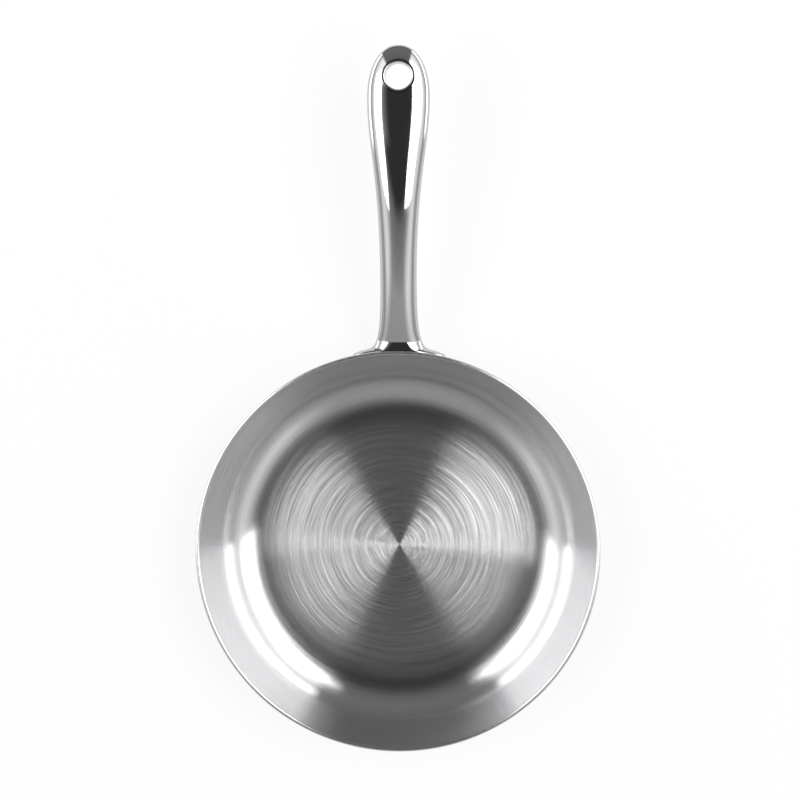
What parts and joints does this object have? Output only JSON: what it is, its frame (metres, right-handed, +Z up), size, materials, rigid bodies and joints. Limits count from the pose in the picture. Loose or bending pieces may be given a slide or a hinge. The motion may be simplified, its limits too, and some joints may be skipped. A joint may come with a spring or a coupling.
{
  "type": "frying pan",
  "caption": "Stainless steel frying pan with a clad round vessel, sloping wall, round rim and a hollow polished handle with a hanging hole.",
  "frame": {"origin": "centre of the flat underside, on the surface that the pan stands on", "axes": "+Z up out of the open vessel, +Y along the handle from the vessel to the tip, +X to the right with the handle pointing away"},
  "size_m": [0.242, 0.4183, 0.0665],
  "materials": {
    "brushed_cooking_steel": "concentric brushing over the floor and wall, polished on the rim",
    "core_aluminium": "rolled sheet, ground and polished where it ends at the rim",
    "outer_steel": "satin, concentric brushing on the underside",
    "polished_handle_steel": "mirror-polished stainless steel",
    "polished_eyelet_steel": "polished stainless steel tube",
    "bracket_steel": "pressed sheet, unpolished",
    "weld_steel": "cast surface of a projection weld"
  },
  "bodies": {
    "root": {"inner_steel_ply": "brushed_cooking_steel", "aluminium_core": "core_aluminium", "outer_steel_ply": "outer_steel", "handle_upper_shell": "polished_handle_steel", "handle_lower_shell": "polished_handle_steel", "hanging_eyelet": "polished_eyelet_steel", "root_bracket": "bracket_steel", "weld_nugget_1": "weld_steel", "weld_nugget_2": "weld_steel", "weld_nugget_3": "weld_steel", "weld_nugget_4": "weld_steel"}
  },
  "joints": []
}
